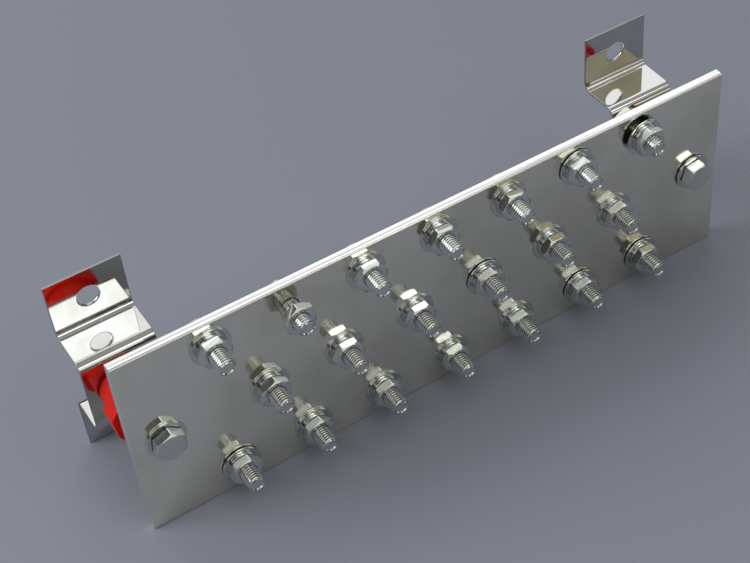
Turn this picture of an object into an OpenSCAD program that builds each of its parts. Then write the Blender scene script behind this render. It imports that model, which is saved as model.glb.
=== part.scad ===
// Bus bar with three rows of threaded studs, stood off a panel on two insulators and hat brackets.
// X runs along the bar, -Y is the front, +Z is up. The origin is the centre of the four panel holes,
// in the plane that the bracket flanges bear on. The bar and both brackets stand on one level.

/* [Bar] */
// Length of the bar
bar_length = 300; // [200:1:420]
// Height of the bar
bar_height = 100; // [80:1:140]
// Thickness of the bar
bar_thickness = 5; // [3:0.5:10]
// Rounding of the bar's long edges
bar_edge_radius = 0.8; // [0.2:0.1:1.4]

/* [Stud rows] */
// Distance between the studs of a row
stud_pitch = 35.6; // [24:0.1:60]
// First stud of the top row, from the bar's left end
top_row_start = 41; // [30:0.1:60]
// Least distance from the top row's last stud to the bar's right end
top_row_end = 40; // [30:1:60]
// Top row, below the bar's top edge
top_row_drop = 12.2; // [10:0.1:18]
// First stud of the middle row, from the bar's left end
middle_row_start = 62.2; // [45:0.1:75]
// Least distance from the middle row's last stud to the bar's right end
middle_row_end = 56; // [45:1:75]
// Middle row, below the bar's top edge
middle_row_drop = 49.8; // [38:0.1:60]
// First stud of the bottom row, from the bar's left end
bottom_row_start = 43; // [30:0.1:60]
// Least distance from the bottom row's last stud to the bar's right end
bottom_row_end = 40; // [30:1:60]
// Bottom row, above the bar's bottom edge
bottom_row_rise = 13.4; // [10:0.1:18]

/* [Fasteners] */
// Thread diameter of every bolt
thread_d = 8; // [5:0.5:9]
// Length of a stud bolt under its head
stud_bolt_length = 20; // [18:1:40]
// Chamfer at a bolt's tip
tip_chamfer = 0.85; // [0.3:0.05:1.2]
// Head and nut size across the flats
hex_af = 13; // [11:0.5:14]
// Height of a bolt head
head_height = 5.3; // [3:0.1:8]
// Height of a nut
nut_height = 4; // [3:0.1:8]
// How far in from the corners of heads and nuts their chamfer reaches
hex_chamfer = 1.3; // [0.8:0.1:2]
// Slope of the chamfer on heads and nuts, in degrees
hex_chamfer_angle = 30; // [15:1:40]
// Flat washer outside diameter
flat_washer_od = 18; // [15:0.5:20]
// Flat washer thickness
flat_washer_t = 1; // [0.5:0.1:2.5]
// Lock washer outside diameter
lock_washer_od = 14; // [12:0.5:15]
// Lock washer thickness
lock_washer_t = 1.4; // [0.8:0.1:2.5]
// Width of the slit in a lock washer
lock_washer_slit = 1.2; // [0.6:0.1:2]
// Slant of the slit, in degrees
lock_washer_slant = 25; // [0:1:40]
// Space all round a bolt in a thread
thread_gap = 0.05; // [0.02:0.01:0.2]
// Space all round a bolt in a washer
washer_gap = 0.2; // [0.1:0.05:0.5]
// Space all round a bolt in a drilled hole
hole_gap = 0.5; // [0.2:0.05:0.8]

/* [End fixings] */
// Bolt into each insulator, from the end of the bar
end_margin = 14.5; // [11:0.1:22]
// Bolts into the insulators, above the middle of the brackets
axis_rise = 1.5; // [-4:0.1:4]
// Thread of the bolt through the bar that is inside its insert
end_engagement = 10; // [6:0.1:12]
// Thread of the bolt through the bracket that is inside its insert
bracket_engagement = 8.4; // [6:0.1:12]
// Room past the longer bolt in an insert
insert_spare = 2; // [0.5:0.1:3]

/* [Insulators] */
// Height of an insulator
insulator_height = 32; // [30:1:60]
// Diameter of the round collar at each end
collar_d = 25; // [20:0.5:27]
// Chamfer at the ends of the collars
collar_chamfer = 1.5; // [0.5:0.1:2]
// Belt size across its eight flats
belt_af = 29; // [27.5:0.5:34]
// Height of the belt
belt_height = 9; // [6:0.5:20]
// Chamfer at the belt's edges
belt_chamfer = 0.8; // [0.3:0.1:2]
// Turn of the belt about the insulator's axis, in degrees
belt_turn = 30; // [0:1:45]
// Metal insert size across its flats
insert_af = 14; // [12:0.5:16]

/* [Brackets] */
// Width of a bracket
bracket_width = 34.5; // [30:0.5:44]
// Height of a bracket over both flanges
bracket_height = 97; // [92:1:120]
// Height of the raised part, outside
hat_height = 41; // [34:1:48]
// Depth of the bracket, outside
hat_depth = 23; // [18:0.5:40]
// Thickness of the sheet
sheet_t = 1.2; // [1:0.1:2.5]
// Inside radius of the bends
bend_radius = 3.5; // [0.5:0.1:4]
// Diameter of the panel holes
panel_hole_d = 9.5; // [6:0.1:12]
// Panel hole, from the end of its flange
panel_hole_inset = 14; // [9:0.1:17]

/* [Hidden] */
$fn = 64;

// Colours
tin = [0.50, 0.50, 0.48];
zinc = [0.78, 0.80, 0.84];
stainless = [0.70, 0.70, 0.68];
red = [0.76, 0.07, 0.05];
brass = [0.80, 0.66, 0.32];

// Overcut of a hole past each face
over = 1;

// Levels along Y, from the panel to the front
hat_front_y = -hat_depth;
bar_back_y = hat_front_y - insulator_height;
bar_front_y = bar_back_y - bar_thickness;

// Levels along Z
base_z = -bracket_height / 2;
bar_top_z = base_z + bar_height;
axis_z = axis_rise;
panel_hole_z = bracket_height / 2 - panel_hole_inset;

// The two insulator axes along X
left_x = -bar_length / 2 + end_margin;
right_x = -left_x;

// Holes and bores
bolt_hole_d = thread_d + 2 * hole_gap;
washer_bore_d = thread_d + 2 * washer_gap;
thread_bore_d = thread_d + 2 * thread_gap;

// Lengths of the bolts under their heads, and depth of the inserts
end_bolt_length = flat_washer_t + bar_thickness + end_engagement;
bracket_bolt_length = lock_washer_t + flat_washer_t + sheet_t + bracket_engagement;
insert_depth = max(end_engagement, bracket_engagement) + insert_spare;

// Stud centres of a row that fills the bar from start to end, as X and Z
function row(start, end, z) =
    [for (x = [start : stud_pitch : bar_length - end]) [x - bar_length / 2, z]];
top_row = row(top_row_start, top_row_end, bar_top_z - top_row_drop);
middle_row = row(middle_row_start, middle_row_end, bar_top_z - middle_row_drop);
bottom_row = row(bottom_row_start, bottom_row_end, base_z + bottom_row_rise);

// How far each nut happens to be turned, in degrees, from the left
top_turns = [8, -25, 0, -2, -5, -40, -23];
middle_turns = [25, 0, 0, 20, -5, -40];
bottom_turns = [-45, 20, -40, 10, -40, 20, -5];
// Where the slit of each lock washer happens to be, in degrees from the right
top_slits = [-40, -95, -10, -70, -55, -20, -85];
middle_slits = [18, -60, -15, -90, -35, -75];
bottom_slits = [-50, -5, -80, -30, -65, -100, -20];
// How far each nut and its washers stand off the bar, where they aren't drawn up
top_slack = [0, 0, 0, 0, 0, 0.4, 1.9];
middle_slack = [0, 0, 0, 0.4, 0, 0];
bottom_slack = [0.4, 0, 0, 0, 0, 0.4, 0.4];
// How far the bolt at each end and its washer stand off the bar
left_end_slack = 0;
right_end_slack = 0.4;
// How far each nut is backed off from its lock washer, or from where one would be
top_backed_off = [0, 3.4, 0, 0, 0, 0, 0];
middle_backed_off = [0];
bottom_backed_off = [0];
// How far each loose bolt is pushed back, with its head off the bar
top_pushed_back = [0, 0, 0, 0, 0, 0, 2];
middle_pushed_back = [0];
bottom_pushed_back = [0];
// Studs with a nut and no washers, counted from 0 at the left
top_bare = [1];
middle_bare = [];
bottom_bare = [];
function washered(centres, bare) =
    [for (i = [0 : len(centres) - 1]) if (len(search(i, bare)) == 0) i];
// Entry of such a list for one stud: the list starts again in a longer row
function nth(list, i) = list[i % len(list)];
// Turns of the heads of the single bolts
left_head_turn = 22;
right_head_turn = 10;
bracket_head_turn = 0;
// Where the slit is in the lock washers behind the brackets
bracket_slit = 100;

// Turns a shape built up along +Z so that it runs to the front, with its own X kept
module facing_front() rotate([90, 0, 0]) children();
// The same, towards the panel
module facing_panel() rotate([-90, 0, 0]) children();

// Hexagon with its outer corners chamfered at the top, and at the bottom too if both is true
module chamfered_hex(height, both) {
    corner_r = hex_af / 2 / cos(30);
    face_r = corner_r - hex_chamfer;
    rise = hex_chamfer * tan(hex_chamfer_angle);
    foot_r = both ? face_r : corner_r;
    foot_rise = both ? rise : 0;
    intersection() {
        cylinder(r = corner_r, h = height, $fn = 6);
        rotate_extrude()
            polygon([
                [0, 0], [foot_r, 0], [corner_r, foot_rise],
                [corner_r, height - rise], [face_r, height], [0, height]
            ]);
    }
}

// Hex bolt with its head on Z = 0 and above, and its shank below
module hex_bolt(length, turn) {
    rotate(turn) chamfered_hex(head_height, false);
    translate([0, 0, -length])
        rotate_extrude()
            polygon([
                [0, 0], [thread_d / 2 - tip_chamfer, 0], [thread_d / 2, tip_chamfer],
                [thread_d / 2, length + over], [0, length + over]
            ]);
}

module hex_nut(turn) {
    rotate(turn) difference() {
        chamfered_hex(nut_height, true);
        translate([0, 0, -over]) cylinder(d = thread_bore_d, h = nut_height + 2 * over);
    }
}

module flat_washer() {
    difference() {
        cylinder(d = flat_washer_od, h = flat_washer_t);
        translate([0, 0, -over]) cylinder(d = washer_bore_d, h = flat_washer_t + 2 * over);
    }
}

// Split ring with a slanted slit
module lock_washer(turn) {
    rotate(turn) difference() {
        cylinder(d = lock_washer_od, h = lock_washer_t);
        translate([0, 0, -over]) cylinder(d = washer_bore_d, h = lock_washer_t + 2 * over);
        translate([lock_washer_od / 2, 0, lock_washer_t / 2])
            rotate([lock_washer_slant, 0, 0])
            cube([lock_washer_od, lock_washer_slit, 4 * lock_washer_t], center = true);
    }
}

// Rectangle with rounded corners, centred
module rounded_rectangle(width, height, radius) {
    square([width - 2 * radius, height], center = true);
    square([width, height - 2 * radius], center = true);
    for (x = [-1, 1], y = [-1, 1])
        translate([x * (width / 2 - radius), y * (height / 2 - radius)]) circle(r = radius);
}

// The bar, drilled for every stud and for the two bolts into the insulators
module bus_bar() {
    ends = [[left_x, axis_z], [right_x, axis_z]];
    color(tin) difference() {
        translate([-bar_length / 2, (bar_front_y + bar_back_y) / 2, bar_top_z - bar_height / 2])
            rotate([90, 0, 90])
            linear_extrude(bar_length)
            rounded_rectangle(bar_thickness, bar_height, bar_edge_radius);
        for (hole = concat(top_row, middle_row, bottom_row, ends))
            translate([hole.x, bar_back_y + over, hole.y])
                facing_front() cylinder(d = bolt_hole_d, h = bar_thickness + 2 * over);
    }
}

// Quarter of a bent sheet, between the directions +X and +Y from the centre of the bend
module bend() {
    outer = bend_radius + sheet_t;
    intersection() {
        difference() {
            circle(r = outer);
            circle(r = bend_radius);
        }
        square(outer);
    }
}

// Upper half of the bracket's section, with the panel along Y = 0 of the part
module half_hat() {
    outer = bend_radius + sheet_t;
    shelf_z = hat_height / 2;
    flange_bend_y = -outer;
    front_bend_y = hat_front_y + outer;
    translate([-sheet_t, shelf_z + bend_radius])
        square([sheet_t, bracket_height / 2 - shelf_z - bend_radius]);
    translate([flange_bend_y, shelf_z + bend_radius]) mirror([0, 1]) bend();
    translate([front_bend_y, shelf_z - sheet_t]) square([flange_bend_y - front_bend_y, sheet_t]);
    translate([front_bend_y, shelf_z - outer]) mirror([1, 0]) bend();
    translate([hat_front_y, 0]) square([sheet_t, shelf_z - outer]);
}

// Folded bracket with one panel hole in each flange and a bolt hole in its front
module bracket(x) {
    color(stainless) translate([x, 0, 0]) difference() {
        translate([-bracket_width / 2, 0, 0])
            rotate([90, 0, 90])
            linear_extrude(bracket_width) {
                half_hat();
                mirror([0, 1]) half_hat();
            }
        for (z = [-panel_hole_z, panel_hole_z])
            translate([0, over, z])
                facing_front() cylinder(d = panel_hole_d, h = sheet_t + 2 * over);
        translate([0, hat_front_y + sheet_t + over, axis_z])
            facing_front() cylinder(d = bolt_hole_d, h = sheet_t + 2 * over);
    }
}

// Hexagonal room for a metal insert, from Z = 0 up
module insert_blank(depth) {
    cylinder(d = insert_af / cos(30), h = depth, $fn = 6);
}

// Disc with both its edges chamfered, from Z = 0 up
module chamfered_disc(radius, height, chamfer) {
    rotate_extrude()
        polygon([
            [0, 0], [radius - chamfer, 0], [radius, chamfer],
            [radius, height - chamfer], [radius - chamfer, height], [0, height]
        ]);
}

// Moulded drum: a round collar at each end and an eight-sided belt round the middle
module insulator(x) {
    belt_r = belt_af / 2 / cos(22.5);
    belt_z = (insulator_height - belt_height) / 2;
    color(red) translate([x, hat_front_y, axis_z]) facing_front() difference() {
        union() {
            chamfered_disc(collar_d / 2, insulator_height, collar_chamfer);
            translate([0, 0, belt_z]) intersection() {
                rotate(belt_turn) cylinder(r = belt_r, h = belt_height, $fn = 8);
                chamfered_disc(belt_r, belt_height, belt_chamfer);
            }
        }
        translate([0, 0, -over]) insert_blank(insert_depth + over);
        translate([0, 0, insulator_height - insert_depth]) insert_blank(insert_depth + over);
    }
}

// Threaded insert, flush with an end of its insulator, from Z = 0 up
module insert() {
    color(brass) difference() {
        insert_blank(insert_depth);
        translate([0, 0, -over]) cylinder(d = thread_bore_d, h = insert_depth + 2 * over);
    }
}

module front_insert(x) translate([x, bar_back_y, axis_z]) facing_panel() insert();
module rear_insert(x) translate([x, hat_front_y, axis_z]) facing_front() insert();

// Bolt and washer that hold the bar to an insulator
module end_washer(x, slack) {
    color(zinc) translate([x, bar_front_y - slack, axis_z]) facing_front() flat_washer();
}
module end_bolt(x, turn, slack) {
    color(zinc) translate([x, bar_front_y - slack - flat_washer_t, axis_z])
        facing_front() hex_bolt(end_bolt_length, turn);
}

// Bolt and washers that hold a bracket to an insulator, from inside the bracket
module bracket_flat_washer(x) {
    color(zinc) translate([x, hat_front_y + sheet_t, axis_z]) facing_panel() flat_washer();
}
module bracket_lock_washer(x) {
    color(zinc) translate([x, hat_front_y + sheet_t + flat_washer_t, axis_z])
        facing_panel() lock_washer(bracket_slit);
}
module bracket_bolt(x) {
    color(zinc) translate([x, hat_front_y + sheet_t + flat_washer_t + lock_washer_t, axis_z])
        facing_panel() hex_bolt(bracket_bolt_length, bracket_head_turn);
}

// One row of stud bolts with their heads on the back of the bar, and what is on them
module row_bolts(centres, turns, pushed_back) {
    color(zinc) for (i = [0 : len(centres) - 1])
        translate([centres[i].x, bar_back_y + nth(pushed_back, i), centres[i].y])
            facing_panel() hex_bolt(stud_bolt_length, nth(turns, i));
}
module row_flat_washers(centres, bare, slack) {
    color(zinc) for (i = washered(centres, bare))
        translate([centres[i].x, bar_front_y - nth(slack, i), centres[i].y])
            facing_front() flat_washer();
}
module row_lock_washers(centres, bare, slits, slack) {
    seat_y = bar_front_y - flat_washer_t;
    color(zinc) for (i = washered(centres, bare))
        translate([centres[i].x, seat_y - nth(slack, i), centres[i].y])
            facing_front() lock_washer(nth(slits, i));
}
module row_nuts(centres, turns, slack, backed_off) {
    seat_y = bar_front_y - flat_washer_t - lock_washer_t;
    color(zinc) for (i = [0 : len(centres) - 1])
        translate([centres[i].x, seat_y - nth(slack, i) - nth(backed_off, i), centres[i].y])
            facing_front() hex_nut(nth(turns, i));
}

bus_bar();
bracket(left_x);  // left_bracket
bracket(right_x);  // right_bracket
insulator(left_x);  // left_insulator
insulator(right_x);  // right_insulator
front_insert(left_x);  // left_front_insert
front_insert(right_x);  // right_front_insert
rear_insert(left_x);  // left_rear_insert
rear_insert(right_x);  // right_rear_insert
end_bolt(left_x, left_head_turn, left_end_slack);  // left_end_bolt
end_bolt(right_x, right_head_turn, right_end_slack);  // right_end_bolt
end_washer(left_x, left_end_slack);  // left_end_washer
end_washer(right_x, right_end_slack);  // right_end_washer
bracket_bolt(left_x);  // left_bracket_bolt
bracket_bolt(right_x);  // right_bracket_bolt
bracket_lock_washer(left_x);  // left_bracket_lock_washer
bracket_lock_washer(right_x);  // right_bracket_lock_washer
bracket_flat_washer(left_x);  // left_bracket_flat_washer
bracket_flat_washer(right_x);  // right_bracket_flat_washer
row_bolts(top_row, top_turns, top_pushed_back);  // top_row_bolts
row_flat_washers(top_row, top_bare, top_slack);  // top_row_flat_washers
row_lock_washers(top_row, top_bare, top_slits, top_slack);  // top_row_lock_washers
row_nuts(top_row, top_turns, top_slack, top_backed_off);  // top_row_nuts
row_bolts(middle_row, middle_turns, middle_pushed_back);  // middle_row_bolts
row_flat_washers(middle_row, middle_bare, middle_slack);  // middle_row_flat_washers
row_lock_washers(middle_row, middle_bare, middle_slits, middle_slack);  // middle_row_lock_washers
row_nuts(middle_row, middle_turns, middle_slack, middle_backed_off);  // middle_row_nuts
row_bolts(bottom_row, bottom_turns, bottom_pushed_back);  // bottom_row_bolts
row_flat_washers(bottom_row, bottom_bare, bottom_slack);  // bottom_row_flat_washers
row_lock_washers(bottom_row, bottom_bare, bottom_slits, bottom_slack);  // bottom_row_lock_washers
row_nuts(bottom_row, bottom_turns, bottom_slack, bottom_backed_off);  // bottom_row_nuts
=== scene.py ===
import math

import bmesh
import bpy
from mathutils import Matrix, Vector


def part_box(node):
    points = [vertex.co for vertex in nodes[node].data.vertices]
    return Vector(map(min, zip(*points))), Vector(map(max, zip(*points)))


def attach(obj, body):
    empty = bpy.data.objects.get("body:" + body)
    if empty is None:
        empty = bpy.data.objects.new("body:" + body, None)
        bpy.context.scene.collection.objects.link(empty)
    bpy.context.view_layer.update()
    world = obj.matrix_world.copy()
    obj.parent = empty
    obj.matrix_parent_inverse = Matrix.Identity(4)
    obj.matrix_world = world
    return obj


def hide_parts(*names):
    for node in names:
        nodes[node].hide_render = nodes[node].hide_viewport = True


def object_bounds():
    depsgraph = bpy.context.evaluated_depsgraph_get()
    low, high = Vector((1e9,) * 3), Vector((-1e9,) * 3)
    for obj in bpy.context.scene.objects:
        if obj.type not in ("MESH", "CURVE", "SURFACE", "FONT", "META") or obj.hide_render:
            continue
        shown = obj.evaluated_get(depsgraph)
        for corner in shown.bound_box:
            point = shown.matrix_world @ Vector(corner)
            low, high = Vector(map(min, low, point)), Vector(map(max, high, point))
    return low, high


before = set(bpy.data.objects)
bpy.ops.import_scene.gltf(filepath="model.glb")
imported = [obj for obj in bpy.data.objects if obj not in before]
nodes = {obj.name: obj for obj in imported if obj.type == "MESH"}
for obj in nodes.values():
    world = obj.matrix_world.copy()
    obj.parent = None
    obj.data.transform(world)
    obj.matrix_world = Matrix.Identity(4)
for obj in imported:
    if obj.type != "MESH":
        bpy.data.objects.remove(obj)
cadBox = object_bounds()
mm = 0.001
print("frame loaded,", len(nodes), "nodes")

# levels read from the frame
barLow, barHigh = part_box("bus_bar")
floorLevel = cadBox[0].z
bracketLow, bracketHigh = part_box("left_bracket")
hatFront = bracketLow.y
axisLevel = (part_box("left_end_washer")[0].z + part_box("left_end_washer")[1].z) / 2
axisLeft = (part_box("left_end_washer")[0].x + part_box("left_end_washer")[1].x) / 2
toFront = Matrix.Rotation(math.radians(90), 4, "X")
toPanel = Matrix.Rotation(math.radians(-90), 4, "X")


# small helpers for shader trees: a socket is linked, anything else is a set value
def setInputs(tree, made, inputs):
    for name, value in inputs.items():
        if isinstance(value, bpy.types.NodeSocket):
            tree.links.new(value, made.inputs[name])
        else:
            made.inputs[name].default_value = value


def addNode(tree, kind, inputs=None, **settings):
    made = tree.nodes.new(kind)
    for name, value in settings.items():
        setattr(made, name, value)
    setInputs(tree, made, inputs or {})
    return made


def newGroup(name, inputs, outputs):
    tree = bpy.data.node_groups.new(name, "ShaderNodeTree")
    for socketName, kind, default in inputs:
        socket = tree.interface.new_socket(socketName, in_out="INPUT", socket_type=kind)
        if default is not None:
            socket.default_value = default
    for socketName, kind in outputs:
        tree.interface.new_socket(socketName, in_out="OUTPUT", socket_type=kind)
    return tree, tree.nodes.new("NodeGroupInput"), tree.nodes.new("NodeGroupOutput")


# soft uneven patches, 0 to 1
def makeCloudGroup():
    tree, given, out = newGroup(
        "cloudyPatches",
        [("Vector", "NodeSocketVector", None), ("Scale", "NodeSocketFloat", 30.0),
         ("Low", "NodeSocketFloat", 0.35), ("High", "NodeSocketFloat", 0.65)],
        [("Mask", "NodeSocketFloat")])
    noise = addNode(tree, "ShaderNodeTexNoise", {
        "Vector": given.outputs["Vector"], "Scale": given.outputs["Scale"],
        "Detail": 5.0, "Roughness": 0.55})
    spread = addNode(tree, "ShaderNodeMapRange", {
        "Value": noise.outputs["Fac"], "From Min": given.outputs["Low"],
        "From Max": given.outputs["High"]}, interpolation_type="SMOOTHSTEP")
    tree.links.new(spread.outputs["Result"], out.inputs["Mask"])
    return tree


# long fine lines, left by rolling or drawing: stretch gives how fast they change along each axis
def makeGrainGroup():
    tree, given, out = newGroup(
        "drawnGrain",
        [("Vector", "NodeSocketVector", None), ("Stretch", "NodeSocketVector", (10.0, 1500.0, 1500.0))],
        [("Height", "NodeSocketFloat")])
    pulled = addNode(tree, "ShaderNodeVectorMath", {
        0: given.outputs["Vector"], 1: given.outputs["Stretch"]}, operation="MULTIPLY")
    noise = addNode(tree, "ShaderNodeTexNoise", {
        "Vector": pulled.outputs["Vector"], "Scale": 1.0, "Detail": 3.0, "Roughness": 0.6})
    tree.links.new(noise.outputs["Fac"], out.inputs["Height"])
    return tree


# sparse hairline marks in two directions, 0 to 1
def makeScuffGroup():
    tree, given, out = newGroup(
        "hairlineScuffs",
        [("Vector", "NodeSocketVector", None), ("Scale", "NodeSocketFloat", 60.0),
         ("Threshold", "NodeSocketFloat", 0.66)],
        [("Mask", "NodeSocketFloat")])
    marks = []
    for turn in ((20, 35, 15), (-50, 10, -65)):
        turned = addNode(tree, "ShaderNodeMapping", {
            "Vector": given.outputs["Vector"],
            "Rotation": [math.radians(a) for a in turn], "Scale": (1.0, 22.0, 22.0)})
        noise = addNode(tree, "ShaderNodeTexNoise", {
            "Vector": turned.outputs["Vector"], "Scale": given.outputs["Scale"],
            "Detail": 2.0, "Roughness": 0.5})
        above = addNode(tree, "ShaderNodeMath", {
            0: noise.outputs["Fac"], 1: given.outputs["Threshold"]}, operation="SUBTRACT")
        marks.append(addNode(tree, "ShaderNodeMath", {0: above.outputs[0], 1: 12.0},
                             operation="MULTIPLY", use_clamp=True))
    both = addNode(tree, "ShaderNodeMath", {0: marks[0].outputs[0], 1: marks[1].outputs[0]},
                   operation="MAXIMUM")
    tree.links.new(both.outputs[0], out.inputs["Mask"])
    return tree


cloudGroup = makeCloudGroup()
grainGroup = makeGrainGroup()
scuffGroup = makeScuffGroup()


def useGroup(tree, group, inputs):
    made = tree.nodes.new("ShaderNodeGroup")
    made.node_tree = group
    setInputs(tree, made, inputs)
    return made


def newFinish(name):
    finish = bpy.data.materials.new(name)
    finish.use_nodes = True
    tree = finish.node_tree
    shader = tree.nodes["Principled BSDF"]
    place = addNode(tree, "ShaderNodeTexCoord").outputs["Object"]
    return finish, tree, shader, place


# oil and shade at the bottom of a thread
def shadeGroove(tree, look, colour):
    groove = addNode(tree, "ShaderNodeAttribute", attribute_name="groove")
    settled = addNode(tree, "ShaderNodeMapRange", {
        "Value": groove.outputs["Fac"], "From Min": look["from"], "To Max": look["share"]})
    darker = addNode(tree, "ShaderNodeMix", {
        0: settled.outputs["Result"], 6: colour, 7: (*look["colour"], 1)}, data_type="RGBA")
    return darker.outputs[2]


# plainer metal and darker lines along the narrow long sides, drawn where the grain runs high
def ruleEdges(tree, place, grain, band, colour):
    level = addNode(tree, "ShaderNodeSeparateXYZ", {"Vector": place}).outputs["Z"]
    past = addNode(tree, "ShaderNodeMath", {0: level, 1: band["middle"]}, operation="SUBTRACT")
    away = addNode(tree, "ShaderNodeMath", {0: past.outputs[0]}, operation="ABSOLUTE")
    onEdge = addNode(tree, "ShaderNodeMapRange", {
        "Value": away.outputs[0], "From Min": band["from"], "From Max": band["to"]})
    lines = addNode(tree, "ShaderNodeMapRange", {
        "Value": grain.outputs["Height"], "From Min": band["lineFrom"], "From Max": band["lineTo"],
        "To Max": band["share"]})
    lined = addNode(tree, "ShaderNodeMath", {
        0: onEdge.outputs["Result"], 1: lines.outputs["Result"]}, operation="MULTIPLY")
    edgeTone = addNode(tree, "ShaderNodeMix", {
        0: onEdge.outputs["Result"], 6: colour, 7: (*band["colour"], 1)}, data_type="RGBA")
    ruled = addNode(tree, "ShaderNodeMix", {
        0: lined.outputs[0], 6: edgeTone.outputs[2], 7: (*band["lineColour"], 1)}, data_type="RGBA")
    return ruled.outputs[2]


# 0 to 1 where a measure nears the limit
def nearLimit(tree, measure, limit, cut):
    near = addNode(tree, "ShaderNodeMapRange", {
        "Value": measure, "From Min": limit - cut["from"], "From Max": limit - cut["to"]})
    return near.outputs["Result"]


# duller where the sheet was cut, at its sides and its two ends
def dullCuts(tree, place, cut, colour, dullness):
    where = addNode(tree, "ShaderNodeSeparateXYZ", {"Vector": place})
    along = addNode(tree, "ShaderNodeMath", {0: where.outputs["X"]}, operation="ABSOLUTE")
    aside = addNode(tree, "ShaderNodeMath", {0: along.outputs[0], 1: cut["axis"]}, operation="SUBTRACT")
    reach = addNode(tree, "ShaderNodeMath", {0: aside.outputs[0]}, operation="ABSOLUTE")
    rise = addNode(tree, "ShaderNodeMath", {0: where.outputs["Z"]}, operation="ABSOLUTE")
    onCut = addNode(tree, "ShaderNodeMath", {
        0: nearLimit(tree, reach.outputs[0], cut["side"], cut),
        1: nearLimit(tree, rise.outputs[0], cut["end"], cut)}, operation="MAXIMUM")
    sheared = addNode(tree, "ShaderNodeMix", {
        0: onCut.outputs[0], 6: colour, 7: (*cut["colour"], 1)}, data_type="RGBA")
    torn = addNode(tree, "ShaderNodeMath", {
        0: onCut.outputs[0], 1: cut["roughness"], 2: dullness}, operation="MULTIPLY_ADD")
    return sheared.outputs[2], torn.outputs[0]


# metal with uneven tone, drawn lines and hairlines, each with its own values
def metalFinish(name, look):
    finish, tree, shader, place = newFinish(name)
    shader.inputs["Metallic"].default_value = look["metallic"]
    clouds = useGroup(tree, cloudGroup, {
        "Vector": place, "Scale": look["patchScale"], "Low": look["patchLow"], "High": look["patchHigh"]})
    grain = useGroup(tree, grainGroup, {"Vector": place, "Stretch": look["stretch"]})
    scuffs = useGroup(tree, scuffGroup, {
        "Vector": place, "Scale": look["scuffScale"], "Threshold": look["scuffThreshold"]})
    tone = addNode(tree, "ShaderNodeMix", {
        0: clouds.outputs["Mask"], 6: (*look["colour"], 1), 7: (*look["patchColour"], 1)},
        data_type="RGBA")
    colour = tone.outputs[2]
    haze = addNode(tree, "ShaderNodeMapRange", {
        "Value": clouds.outputs["Mask"], "To Min": look["roughness"], "To Max": look["patchRoughness"]})
    dullness = haze.outputs["Result"]
    if "groove" in look:
        colour = shadeGroove(tree, look["groove"], colour)
    if "edgeBand" in look:
        colour = ruleEdges(tree, place, grain, look["edgeBand"], colour)
    if "cutEdge" in look:
        colour, dullness = dullCuts(tree, place, look["cutEdge"], colour, dullness)
    tree.links.new(colour, shader.inputs["Base Color"])
    marked = addNode(tree, "ShaderNodeMath", {
        0: scuffs.outputs["Mask"], 1: look["scuffRoughness"], 2: dullness},
        operation="MULTIPLY_ADD", use_clamp=True)
    tree.links.new(marked.outputs[0], shader.inputs["Roughness"])
    relief = addNode(tree, "ShaderNodeBump", {
        "Strength": look["grainStrength"], "Distance": look["grainDepth"],
        "Height": grain.outputs["Height"]})
    waves = addNode(tree, "ShaderNodeTexNoise", {
        "Vector": place, "Scale": look["waveScale"], "Detail": 1.0})
    wavy = addNode(tree, "ShaderNodeBump", {
        "Strength": look["waveStrength"], "Distance": look["waveDepth"],
        "Height": waves.outputs["Fac"], "Normal": relief.outputs["Normal"]})
    tree.links.new(wavy.outputs["Normal"], shader.inputs["Normal"])
    print("finish", name)
    return finish


satinPlate = {
    "metallic": 1.0,
    "colour": (0.93, 0.915, 0.80), "patchColour": (0.80, 0.78, 0.66),
    "patchScale": 20.0, "patchLow": 0.34, "patchHigh": 0.70,
    "roughness": 0.11, "patchRoughness": 0.17,
    "stretch": (6.0, 900.0, 900.0), "grainStrength": 0.10, "grainDepth": 0.00002,
    "scuffScale": 30.0, "scuffThreshold": 0.69, "scuffRoughness": 0.05,
    "waveScale": 30.0, "waveStrength": 0.15, "waveDepth": 0.0004,
    "edgeBand": {"middle": (barLow.z + barHigh.z) / 2, "from": (barHigh.z - barLow.z) / 2 - 0.3 * mm,
                 "to": (barHigh.z - barLow.z) / 2 - 0.05 * mm, "colour": (0.86, 0.87, 0.865),
                 "lineColour": (0.34, 0.34, 0.33), "lineFrom": 0.50, "lineTo": 0.62, "share": 0.75},
}
mirrorSheet = {
    "metallic": 1.0,
    "colour": (0.64, 0.64, 0.63), "patchColour": (0.59, 0.585, 0.545),
    "patchScale": 60.0, "patchLow": 0.42, "patchHigh": 0.72,
    "roughness": 0.045, "patchRoughness": 0.085,
    "stretch": (40.0, 1200.0, 1200.0), "grainStrength": 0.04, "grainDepth": 0.00001,
    "scuffScale": 55.0, "scuffThreshold": 0.67, "scuffRoughness": 0.12,
    "waveScale": 55.0, "waveStrength": 0.10, "waveDepth": 0.0002,
    "cutEdge": {"axis": -axisLeft, "side": (bracketHigh.x - bracketLow.x) / 2, "end": bracketHigh.z,
                "from": 0.40 * mm, "to": 0.20 * mm, "colour": (0.34, 0.34, 0.335), "roughness": 0.30},
}
brightZinc = {
    "metallic": 1.0,
    "colour": (0.68, 0.70, 0.68), "patchColour": (0.60, 0.62, 0.60),
    "patchScale": 220.0, "patchLow": 0.40, "patchHigh": 0.70,
    "roughness": 0.10, "patchRoughness": 0.16,
    "stretch": (900.0, 300.0, 900.0), "grainStrength": 0.06, "grainDepth": 0.00001,
    "scuffScale": 160.0, "scuffThreshold": 0.66, "scuffRoughness": 0.12,
    "waveScale": 260.0, "waveStrength": 0.10, "waveDepth": 0.0001,
}
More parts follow.
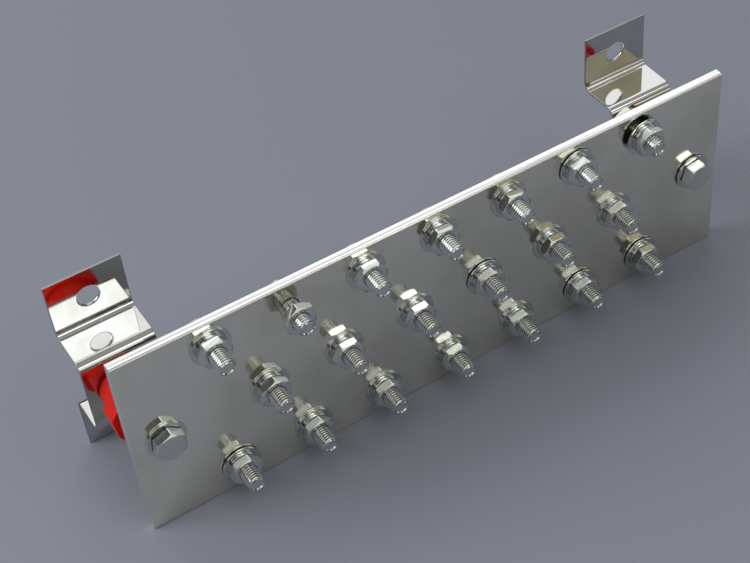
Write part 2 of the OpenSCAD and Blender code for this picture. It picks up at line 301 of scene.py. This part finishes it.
turnedBrass = {
    "metallic": 1.0,
    "colour": (0.72, 0.53, 0.22), "patchColour": (0.60, 0.42, 0.16),
    "patchScale": 150.0, "patchLow": 0.40, "patchHigh": 0.70,
    "roughness": 0.22, "patchRoughness": 0.34,
    "stretch": (300.0, 2500.0, 300.0), "grainStrength": 0.12, "grainDepth": 0.00002,
    "scuffScale": 120.0, "scuffThreshold": 0.68, "scuffRoughness": 0.10,
    "waveScale": 100.0, "waveStrength": 0.05, "waveDepth": 0.0001,
}
barFinish = metalFinish("satinPlatedBar", satinPlate)
bracketFinish = metalFinish("polishedBracketSheet", mirrorSheet)
boltFinish = metalFinish("brightZincBolt", {
    **brightZinc, "metallic": 0.90, "groove": {"from": 0.45, "share": 0.6, "colour": (0.16, 0.165, 0.17)}})
nutFinish = metalFinish("brightZincNut", {
    **brightZinc, "metallic": 0.90, "roughness": 0.08, "patchRoughness": 0.13})
dullerZinc = {**brightZinc, "roughness": 0.13, "patchRoughness": 0.20}
flatWasherFinish = metalFinish("brightZincFlatWasher", dullerZinc)
lockWasherFinish = metalFinish("brightZincLockWasher", dullerZinc)
insertFinish = metalFinish("turnedBrassInsert", turnedBrass)


# glossy red moulding with slight flow marks and a fine skin
redMoulding = {
    "colour": (0.66, 0.014, 0.006), "flowColour": (0.58, 0.011, 0.005),
    "flowScale": 45.0, "roughness": 0.30, "flowRoughness": 0.40, "gloss": 0.18,
    "skinScale": 1600.0, "skinDepth": 0.00003, "skinStrength": 0.10,
}


def makeMouldedFinish(look):
    finish, tree, shader, place = newFinish("glossyRedMoulding")
    shader.inputs["Specular IOR Level"].default_value = look["gloss"]
    clouds = useGroup(tree, cloudGroup, {"Vector": place, "Scale": look["flowScale"]})
    tone = addNode(tree, "ShaderNodeMix", {
        0: clouds.outputs["Mask"], 6: (*look["colour"], 1), 7: (*look["flowColour"], 1)},
        data_type="RGBA")
    tree.links.new(tone.outputs[2], shader.inputs["Base Color"])
    haze = addNode(tree, "ShaderNodeMapRange", {
        "Value": clouds.outputs["Mask"], "To Min": look["roughness"], "To Max": look["flowRoughness"]})
    tree.links.new(haze.outputs["Result"], shader.inputs["Roughness"])
    skin = addNode(tree, "ShaderNodeTexNoise", {
        "Vector": place, "Scale": look["skinScale"], "Detail": 2.0})
    relief = addNode(tree, "ShaderNodeBump", {
        "Strength": look["skinStrength"], "Distance": look["skinDepth"], "Height": skin.outputs["Fac"]})
    tree.links.new(relief.outputs["Normal"], shader.inputs["Normal"])
    print("finish", finish.name)
    return finish


insulatorFinish = makeMouldedFinish(redMoulding)


# every new piece stands at the origin with its place in its mesh
def softShade(bm, limit):
    for face in bm.faces:
        face.smooth = True
    for edge in bm.edges:
        edge.smooth = len(edge.link_faces) == 2 and edge.calc_face_angle(0.0) < math.radians(limit)


def finishPiece(name, bm, finish, stoodFor, limit=24):
    softShade(bm, limit)
    mesh = bpy.data.meshes.new(name)
    bm.to_mesh(mesh)
    bm.free()
    mesh.materials.append(finish)
    piece = bpy.data.objects.new(name, mesh)
    bpy.context.scene.collection.objects.link(piece)
    even = piece.modifiers.new("evenShading", "WEIGHTED_NORMAL")
    even.keep_sharp = True
    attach(piece, "root")
    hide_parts(*stoodFor)
    print("piece", name, len(mesh.polygons), "faces")
    return piece


# grows a ring of edges into the next ring, with each new vertex put where place says
def growRing(bm, ring, place):
    grown = bmesh.ops.extrude_edge_only(bm, edges=ring)["geom"]
    for part in grown:
        if isinstance(part, bmesh.types.BMVert):
            part.co = place(part.co)
    return [part for part in grown if isinstance(part, bmesh.types.BMEdge)]


def closeRing(bm, ring):
    bmesh.ops.contextual_create(bm, geom=ring)


def onCircle(co, radius, level):
    flat = Vector((co.x, co.y, 0)).normalized() * radius
    return Vector((flat.x, flat.y, level))


# sizes of the fasteners, in millimetres
hexSizes = {"acrossFlats": 13.0, "chamferReach": 1.3, "chamferSlope": 30.0, "perSide": 8,
            "cornerRound": 0.30}
hexCorner = hexSizes["acrossFlats"] / 2 / math.cos(math.radians(30))
hexFace = hexCorner - hexSizes["chamferReach"]
boltSizes = {"threadRadius": 4.0, "rootRadius": 3.27, "pitch": 1.25, "crestFlat": 0.16, "stepsPerTurn": 36,
             "tipChamfer": 0.85, "rimWidth": 0.25, "dishWidth": 0.36, "dishDepth": 0.60,
             "headHeight": 5.3, "washerFace": 0.45, "washerFaceRadius": 5.8, "intoHead": 0.4}
boltLengths = {"stud": 20.0, "end": 16.0, "bracket": 12.0}
nutSizes = {"height": 4.0, "boreRadius": 3.45, "mouthRadius": 4.35}
flatWasherSizes = {"outside": 9.0, "bore": 4.2, "thickness": 1.0, "edgeRound": 0.28, "segments": 72}
lockWasherSizes = {"outside": 7.0, "bore": 4.2, "thickness": 1.4, "rise": 0.12, "edgeRound": 0.18,
                   "slit": 1.2, "slant": 25.0, "steps": 64}
weld = 0.0005  # points closer than this are one
touch = 0.01  # and this close counts as on a surface


# outline of the hexagon, with the first corner on X
def hexRing(bm, level):
    known = set(bm.edges)
    turned = Matrix.Translation((0, 0, level)) @ Matrix.Rotation(math.radians(-90), 4, "Z")
    bmesh.ops.create_circle(bm, segments=6, radius=hexCorner, matrix=turned)
    sides = [e for e in bm.edges if e not in known]
    bmesh.ops.subdivide_edges(bm, edges=sides, cuts=hexSizes["perSide"] - 1)
    return [e for e in bm.edges if e not in known]


def chamferDrop(co):
    past = math.hypot(co.x, co.y) - hexFace
    return max(0.0, past) * math.tan(math.radians(hexSizes["chamferSlope"]))


# hexagon body from the foot's level to height: returns the rings round its lower and upper faces
def hexBody(bm, height, foot, chamferBelow):
    wall = hexRing(bm, 0.0)
    for vert in {v for e in wall for v in e.verts}:
        vert.co.z = foot + (chamferDrop(vert.co) if chamferBelow else 0.0)
    top = growRing(bm, wall, lambda co: Vector((co.x, co.y, height - chamferDrop(co))))
    upper = growRing(bm, top, lambda co: onCircle(co, hexFace, height))
    lower = growRing(bm, wall, lambda co: onCircle(co, hexFace, foot))
    return lower, upper


def roundCorners(bm):
    bmesh.ops.recalc_face_normals(bm, faces=bm.faces)
    upright = [e for e in bm.edges if abs(e.verts[0].co.z - e.verts[1].co.z) > 1.0
               and math.hypot(e.verts[0].co.x, e.verts[0].co.y) > hexCorner - touch]
    bmesh.ops.bevel(bm, geom=upright, offset=hexSizes["cornerRound"], segments=3, profile=0.5,
                    affect="EDGES", material=-1)


# threaded shank along -Z with a dished tip: one thread profile is spun up a helix, cut flat and closed
def addShank(bm, length):
    sizes = boltSizes
    pitch = sizes["pitch"]
    crest = sizes["threadRadius"]
    root = sizes["rootRadius"]
    flank = (crest - root) * math.tan(math.radians(30))
    rootFlat = pitch - 2 * flank - sizes["crestFlat"]
    foot = -length - pitch * 1.5
    head = sizes["intoHead"]
    profile = [(root, 0.0), (root, rootFlat), (root + 0.8 * (crest - root), rootFlat + 0.8 * flank),
               (crest, rootFlat + flank), (crest, rootFlat + flank + sizes["crestFlat"]),
               (root + 0.8 * (crest - root), pitch - 0.8 * flank), (root, pitch)]
    part = bmesh.new()
    line = [part.verts.new((radius, 0, foot + level)) for radius, level in profile]
    edges = [part.edges.new(pair) for pair in zip(line, line[1:])]
    turns = math.ceil((length + head) / pitch) + 3
    steps = sizes["stepsPerTurn"] * turns
    bmesh.ops.spin(part, geom=line + edges, cent=(0, 0, 0), axis=(0, 0, 1),
                   dvec=(0, 0, pitch / sizes["stepsPerTurn"]), angle=2 * math.pi * turns, steps=steps)
    bmesh.ops.remove_doubles(part, verts=part.verts, dist=weld)
    cuts = [-length + sizes["tipChamfer"] * share for share in (1.0, 0.75, 0.5, 0.25)]
    for level in cuts:
        bmesh.ops.bisect_plane(part, geom=part.verts[:] + part.edges[:] + part.faces[:],
                               plane_co=(0, 0, level), plane_no=(0, 0, 1))
    tip = bmesh.ops.bisect_plane(part, geom=part.verts[:] + part.edges[:] + part.faces[:],
                                 plane_co=(0, 0, -length), plane_no=(0, 0, 1), clear_inner=True)
    tipRing = [e for e in tip["geom_cut"] if isinstance(e, bmesh.types.BMEdge)]
    for vert in part.verts:
        into = -length + sizes["tipChamfer"] - vert.co.z
        reach = math.hypot(vert.co.x, vert.co.y)
        most = crest - into
        if into > 0 and reach > most:
            vert.co.xy = vert.co.xy * (most / reach)
    tipRadius = crest - sizes["tipChamfer"]
    rim = growRing(part, tipRing, lambda co: onCircle(co, tipRadius - sizes["rimWidth"], -length))
    dishRadius = tipRadius - sizes["rimWidth"] - sizes["dishWidth"]
    dish = growRing(part, rim, lambda co: onCircle(co, dishRadius, -length + sizes["dishDepth"]))
    closeRing(part, dish)
    stub = bmesh.ops.bisect_plane(part, geom=part.verts[:] + part.edges[:] + part.faces[:],
                                  plane_co=(0, 0, head), plane_no=(0, 0, 1), clear_outer=True)
    closeRing(part, [e for e in stub["geom_cut"] if isinstance(e, bmesh.types.BMEdge)])
    bmesh.ops.recalc_face_normals(part, faces=part.faces)
    groove = part.verts.layers.float.new("groove")
    for vert in part.verts:
        reach = math.hypot(vert.co.x, vert.co.y)
        if vert.co.z > -length + touch and reach > root - touch:
            vert[groove] = (crest - reach) / (crest - root)
    joinIn(bm, part, Matrix.Identity(4))


# puts the shape of part into bm, moved
def joinIn(bm, part, matrix):
    carrier = bpy.data.meshes.new("carrier")
    part.to_mesh(carrier)
    part.free()
    addMesh(bm, carrier, matrix)
    bpy.data.meshes.remove(carrier)


def addMesh(bm, mesh, matrix):
    known = len(bm.verts)
    bm.from_mesh(mesh)
    bm.verts.ensure_lookup_table()
    bmesh.ops.transform(bm, matrix=matrix, verts=bm.verts[known:])


def keepMesh(name, bm):
    mesh = bpy.data.meshes.new(name)
    bm.to_mesh(mesh)
    bm.free()
    return mesh


def makeBolt(name, length):
    bm = bmesh.new()
    step = boltSizes["washerFace"]
    stepRadius = boltSizes["washerFaceRadius"]
    lower, upper = hexBody(bm, boltSizes["headHeight"], step, False)
    lower = growRing(bm, lower, lambda co: onCircle(co, stepRadius, step))
    lower = growRing(bm, lower, lambda co: onCircle(co, stepRadius, 0.0))
    closeRing(bm, lower)
    closeRing(bm, upper)
    roundCorners(bm)
    addShank(bm, length)
    return keepMesh(name, bm)


def makeNut():
    bm = bmesh.new()
    upper = hexBody(bm, nutSizes["height"], 0.0, True)[1]
    bore = nutSizes["boreRadius"]
    mouth = nutSizes["mouthRadius"]
    upper = growRing(bm, upper, lambda co: onCircle(co, mouth, nutSizes["height"]))
    upper = growRing(bm, upper, lambda co: onCircle(co, bore, nutSizes["height"] - (mouth - bore)))
    upper = growRing(bm, upper, lambda co: onCircle(co, bore, mouth - bore))
    upper = growRing(bm, upper, lambda co: onCircle(co, mouth, 0.0))
    growRing(bm, upper, lambda co: onCircle(co, hexFace, 0.0))
    bmesh.ops.remove_doubles(bm, verts=bm.verts, dist=weld)
    roundCorners(bm)
    return keepMesh("nut", bm)


# section of a ring with its four corners rounded, in the plane of X and Z
def sectionLoop(bm, inner, outer, height, rounding):
    outline = ((inner, 0), (outer, 0), (outer, height), (inner, height))
    corners = [bm.verts.new((x, 0, z)) for x, z in outline]
    bm.faces.new(corners)
    bmesh.ops.bevel(bm, geom=corners, offset=rounding, segments=3, profile=0.5,
                    affect="VERTICES", material=-1)
    bmesh.ops.delete(bm, geom=bm.faces[:], context="FACES_ONLY")
    return bm.verts[:] + bm.edges[:]


def makeFlatWasher():
    sizes = flatWasherSizes
    bm = bmesh.new()
    section = sectionLoop(bm, sizes["bore"], sizes["outside"], sizes["thickness"], sizes["edgeRound"])
    bmesh.ops.spin(bm, geom=section, cent=(0, 0, 0), axis=(0, 0, 1), angle=2 * math.pi,
                   steps=sizes["segments"], use_merge=True)
    bmesh.ops.remove_doubles(bm, verts=bm.verts, dist=weld)
    bmesh.ops.recalc_face_normals(bm, faces=bm.faces)
    return keepMesh("flatWasher", bm)


# split ring: swept round with a slight rise, its ends slanted and a little apart
def makeLockWasher():
    sizes = lockWasherSizes
    bm = bmesh.new()
    height = sizes["thickness"] - sizes["rise"]
    section = sectionLoop(bm, sizes["bore"], sizes["outside"], height, sizes["edgeRound"])
    middle = (sizes["bore"] + sizes["outside"]) / 2
    gap = sizes["slit"] / middle
    sweep = 2 * math.pi - gap
    bmesh.ops.rotate(bm, cent=(0, 0, 0), matrix=Matrix.Rotation(gap / 2, 3, "Z"), verts=bm.verts)
    first = [e for e in section if isinstance(e, bmesh.types.BMEdge)]
    swept = bmesh.ops.spin(bm, geom=section, cent=(0, 0, 0), axis=(0, 0, 1),
                           dvec=(0, 0, sizes["rise"] / sizes["steps"]), angle=sweep, steps=sizes["steps"])
    last = [e for e in swept["geom_last"] if isinstance(e, bmesh.types.BMEdge)]
    closeRing(bm, first)
    closeRing(bm, last)
    slant = math.tan(math.radians(sizes["slant"]))
    for vert in bm.verts:  # leans the whole ring round its axis, so both ends slant alike
        lean = -(vert.co.z - sizes["thickness"] / 2) * slant / math.hypot(vert.co.x, vert.co.y)
        vert.co.xy = Matrix.Rotation(lean, 2) @ vert.co.xy
    bmesh.ops.recalc_face_normals(bm, faces=bm.faces)
    return keepMesh("lockWasher", bm)


studBolt = makeBolt("studBolt", boltLengths["stud"])
endBolt = makeBolt("endBolt", boltLengths["end"])
bracketBolt = makeBolt("bracketBolt", boltLengths["bracket"])
hexNut = makeNut()
flatWasher = makeFlatWasher()
lockWasher = makeLockWasher()
print("fastener shapes made")


# one fastener mesh set at each place: metres, turn about its own axis, and which way it faces
def setFasteners(name, mesh, places, facing, finish, stoodFor):
    bm = bmesh.new()
    for spot, turn in places:
        matrix = (Matrix.Translation(spot) @ facing @ Matrix.Rotation(math.radians(turn), 4, "Z")
                  @ Matrix.Scale(mm, 4))
        addMesh(bm, mesh, matrix)
    return finishPiece(name, bm, finish, stoodFor)


# the three rows, from the left: distances in millimetres, turns in degrees
studPitch = 35.6
bracketSlit = 100
rows = {
    "top": {"start": 41.0, "level": barHigh.z - 12.2 * mm, "turns": [8, -25, 0, -2, -5, -40, -23],
            "slits": [-40, -95, -10, -70, -55, -20, -85], "slack": [0, 0, 0, 0, 0, 0.4, 1.9],
            "backedOff": [0, 3.4, 0, 0, 0, 0, 0], "pushedBack": [0, 0, 0, 0, 0, 0, 2], "bare": [1]},
    "middle": {"start": 62.2, "level": barHigh.z - 49.8 * mm, "turns": [25, 0, 0, 20, -5, -40],
               "slits": [18, -60, -15, -90, -35, -75], "slack": [0, 0, 0, 0.4, 0, 0],
               "backedOff": [0] * 6, "pushedBack": [0] * 6, "bare": []},
    "bottom": {"start": 43.0, "level": barLow.z + 13.4 * mm, "turns": [-45, 20, -40, 10, -40, 20, -5],
               "slits": [-50, -5, -80, -30, -65, -100, -20], "slack": [0.4, 0, 0, 0, 0, 0.4, 0.4],
               "backedOff": [0] * 7, "pushedBack": [0] * 7, "bare": []},
}
flatThickness = flatWasherSizes["thickness"]
lockThickness = lockWasherSizes["thickness"]
for rowName, row in rows.items():
    bolts, flats, locks, nuts = [], [], [], []
    for i, turn in enumerate(row["turns"]):
        x = barLow.x + (row["start"] + studPitch * i) * mm
        seat = barLow.y - row["slack"][i] * mm
        bolts.append(((x, barHigh.y + row["pushedBack"][i] * mm, row["level"]), turn))
        if i not in row["bare"]:
            flats.append(((x, seat, row["level"]), turn))
            locks.append(((x, seat - flatThickness * mm, row["level"]), row["slits"][i]))
        nutSeat = seat - (flatThickness + lockThickness + row["backedOff"][i]) * mm
        nuts.append(((x, nutSeat, row["level"]), turn))
    setFasteners(rowName + "StudBolts", studBolt, bolts, toPanel, boltFinish,
                 [rowName + "_row_bolts"])
    setFasteners(rowName + "FlatWashers", flatWasher, flats, toFront, flatWasherFinish,
                 [rowName + "_row_flat_washers"])
    setFasteners(rowName + "LockWashers", lockWasher, locks, toFront, lockWasherFinish,
                 [rowName + "_row_lock_washers"])
    setFasteners(rowName + "Nuts", hexNut, nuts, toFront, nutFinish, [rowName + "_row_nuts"])

# the bolts at each end
sheetThickness = 1.2
ends = {"left": {"x": axisLeft, "headTurn": 22, "slack": 0.0},
        "right": {"x": -axisLeft, "headTurn": 10, "slack": 0.4}}
for side, end in ends.items():
    x = end["x"]
    seat = barLow.y - end["slack"] * mm
    washerSpot = (x, seat, axisLevel)
    boltSpot = (x, seat - flatThickness * mm, axisLevel)
    setFasteners(side + "EndWasher", flatWasher, [(washerSpot, 0)], toFront, flatWasherFinish,
                 [side + "_end_washer"])
    setFasteners(side + "EndBolt", endBolt, [(boltSpot, end["headTurn"])], toFront, boltFinish,
                 [side + "_end_bolt"])
    inside = hatFront + sheetThickness * mm
    setFasteners(side + "BracketFlatWasher", flatWasher, [((x, inside, axisLevel), 0)], toPanel,
                 flatWasherFinish, [side + "_bracket_flat_washer"])
    setFasteners(side + "BracketLockWasher", lockWasher,
                 [((x, inside + flatThickness * mm, axisLevel), bracketSlit)], toPanel, lockWasherFinish,
                 [side + "_bracket_lock_washer"])
    setFasteners(side + "BracketBolt", bracketBolt,
                 [((x, inside + (flatThickness + lockThickness) * mm, axisLevel), 0)], toPanel, boltFinish,
                 [side + "_bracket_bolt"])


# a copy of a frame solid with its sharp edges broken, and the rims of punched holes rolled over
def easedCopy(node, name, finish, easing, rims=()):
    bm = bmesh.new()
    bm.from_mesh(nodes[node].data)
    bmesh.ops.remove_doubles(bm, verts=bm.verts, dist=easing["merge"])
    bmesh.ops.dissolve_limit(bm, angle_limit=math.radians(easing["flatWithin"]), verts=bm.verts,
                             edges=bm.edges)
    for rim in rims:
        ring = [e for e in bm.edges if all(
            abs((v.co - rim["centre"]).length - rim["radius"]) < rim["within"] for v in e.verts)]
        bmesh.ops.bevel(bm, geom=ring, offset=rim["size"], offset_type="OFFSET", segments=rim["segments"],
                        profile=0.5, affect="EDGES", clamp_overlap=True, material=-1)
    sharp = [e for e in bm.edges if len(e.link_faces) == 2
             and e.calc_face_angle(0.0) > math.radians(easing["sharpFrom"])]
    bmesh.ops.bevel(bm, geom=sharp, offset=easing["size"] * mm, offset_type="OFFSET",
                    segments=easing["segments"], profile=0.5, affect="EDGES", clamp_overlap=True,
                    material=-1)
    piece = finishPiece(name, bm, finish, [node])
    if "custom_normal" in piece.data.attributes:
        piece.data.attributes.remove(piece.data.attributes["custom_normal"])
    return piece


barEasing = {"merge": 1e-6, "flatWithin": 0.3, "sharpFrom": 40, "size": 0.25, "segments": 2}
bracketEasing = {"merge": 1e-6, "flatWithin": 0.3, "sharpFrom": 40, "size": 0.35, "segments": 3}
insulatorEasing = {"merge": 1e-6, "flatWithin": 0.3, "sharpFrom": 25, "size": 0.45, "segments": 3}
easedCopy("bus_bar", "barBlade", barFinish, barEasing)
panelHole = {"inset": 14.0, "radius": 4.75, "rollOver": 0.7, "segments": 4, "within": 0.02}
for side, end in ends.items():
    rims = [{"centre": Vector((end["x"], -sheetThickness * mm, z)), "radius": panelHole["radius"] * mm,
             "size": panelHole["rollOver"] * mm, "segments": panelHole["segments"],
             "within": panelHole["within"] * mm}
            for z in (bracketLow.z + panelHole["inset"] * mm, bracketHigh.z - panelHole["inset"] * mm)]
    easedCopy(side + "_bracket", side + "HatBracket", bracketFinish, bracketEasing, rims)
    easedCopy(side + "_insulator", side + "StandoffInsulator", insulatorFinish,
              insulatorEasing)
    for face in ("front", "rear"):
        nodes[side + "_" + face + "_insert"].material_slots[0].material = insertFinish

# plain floor, world and soft boxes
stageLook = {"floorColour": (0.25, 0.266, 0.322), "floorRoughness": 0.75, "floorHalf": 4.0,
             "worldColour": (0.33, 0.33, 0.32), "worldStrength": 0.08}
floorMesh = bmesh.new()
bmesh.ops.create_grid(floorMesh, x_segments=1, y_segments=1, size=stageLook["floorHalf"],
                      matrix=Matrix.Translation((0, 0, floorLevel)))
floor = bpy.data.objects.new("floor", keepMesh("floor", floorMesh))
bpy.context.scene.collection.objects.link(floor)
floorFinish, _, floorShader, _ = newFinish("plainFloor")
floorShader.inputs["Base Color"].default_value = (*stageLook["floorColour"], 1)
floorShader.inputs["Roughness"].default_value = stageLook["floorRoughness"]
floor.data.materials.append(floorFinish)

world = bpy.data.worlds.new("studio")
bpy.context.scene.world = world
world.use_nodes = True
backdrop = world.node_tree.nodes["Background"]
backdrop.inputs["Color"].default_value = (*stageLook["worldColour"], 1)
backdrop.inputs["Strength"].default_value = stageLook["worldStrength"]

coolTint = (0.96, 0.99, 1.0)
coolerTint = (0.94, 0.98, 1.0)
warmTint = (1.0, 0.96, 0.88)
oliveTint = (1.0, 0.95, 0.66)
plainTint = (1.0, 1.0, 1.0)
softBoxes = {
    "leftBox": {"from": (-1.95, 0.65, 1.3), "size": (1.6, 1.8), "glow": 4.2, "tint": plainTint},
    "frontLeftBox": {"from": (-1.60, -0.85, 1.30), "size": (1.0, 1.5), "glow": 0.9, "tint": plainTint},
    "backRightBox": {"from": (0.30, 1.68, 1.86), "size": (3.4, 2.2), "glow": 1.2, "tint": plainTint},
    "overheadBox": {"from": (0.0, -0.45, 2.25), "size": (3.6, 2.2), "glow": 0.36, "tint": plainTint},
    "frontBox": {"from": (0.30, -1.62, 1.70), "size": (1.2, 0.55), "glow": 2.5, "tint": coolTint},
    "frontLowBox": {"from": (0.1, -2.1, 0.38), "size": (3.4, 0.7), "glow": 0.85, "tint": warmTint},
    "cameraSideCard": {"from": (-0.80, -1.60, 2.05), "size": (1.2, 0.5), "glow": 0.55, "tint": coolerTint},
    "rightLowBox": {"from": (1.95, -1.35, 0.40), "size": (1.5, 0.8), "glow": 0.7, "tint": coolerTint},
    "oliveCard": {"from": (1.24, -1.53, 1.30), "size": (1.1, 0.62), "glow": 0.47, "tint": oliveTint},
    "frontRightBox": {"from": (1.15, -1.36, 2.02), "size": (0.9, 0.42), "glow": 1.5, "tint": coolTint},
}
for name, box in softBoxes.items():
    lamp = bpy.data.lights.new(name, "AREA")
    lamp.shape = "RECTANGLE"
    lamp.size, lamp.size_y = box["size"]
    lamp.color = box["tint"]
    lamp.energy = box["glow"] * math.pi * box["size"][0] * box["size"][1]
    holder = bpy.data.objects.new(name, lamp)
    holder.location = box["from"]
    holder.rotation_mode = "QUATERNION"
    holder.rotation_quaternion = (-Vector(box["from"])).to_track_quat("-Z", "Y")
    bpy.context.scene.collection.objects.link(holder)
print("stage and lamps set")

# camera at the photograph's angle, for a picture of 750 by 563
cameraSet = {"place": (-247.56, -481.98, 505.13), "heading": 31.789, "down": 44.091, "roll": -3.1875,
             "focalPixels": 1621.7, "pictureWidth": 750, "sensor": 36.0, "shift": (-0.1297, -0.05046)}
cameraData = bpy.data.cameras.new("photoCamera")
cameraData.sensor_width = cameraSet["sensor"]
cameraData.lens = cameraSet["sensor"] * cameraSet["focalPixels"] / cameraSet["pictureWidth"]
cameraData.shift_x, cameraData.shift_y = cameraSet["shift"]
cameraData.clip_start = 0.01
camera = bpy.data.objects.new("photoCamera", cameraData)
heading = math.radians(cameraSet["heading"])
down = math.radians(cameraSet["down"])
aim = Vector((math.sin(heading) * math.cos(down), math.cos(heading) * math.cos(down), -math.sin(down)))
camera.matrix_world = (Matrix.Translation(Vector(cameraSet["place"]) * mm)
                       @ aim.to_track_quat("-Z", "Y").to_matrix().to_4x4()
                       @ Matrix.Rotation(math.radians(cameraSet["roll"]), 4, "Z"))
bpy.context.scene.collection.objects.link(camera)
bpy.context.scene.camera = camera
bpy.context.scene.view_settings.view_transform = "Standard"

bpy.context.view_layer.update()
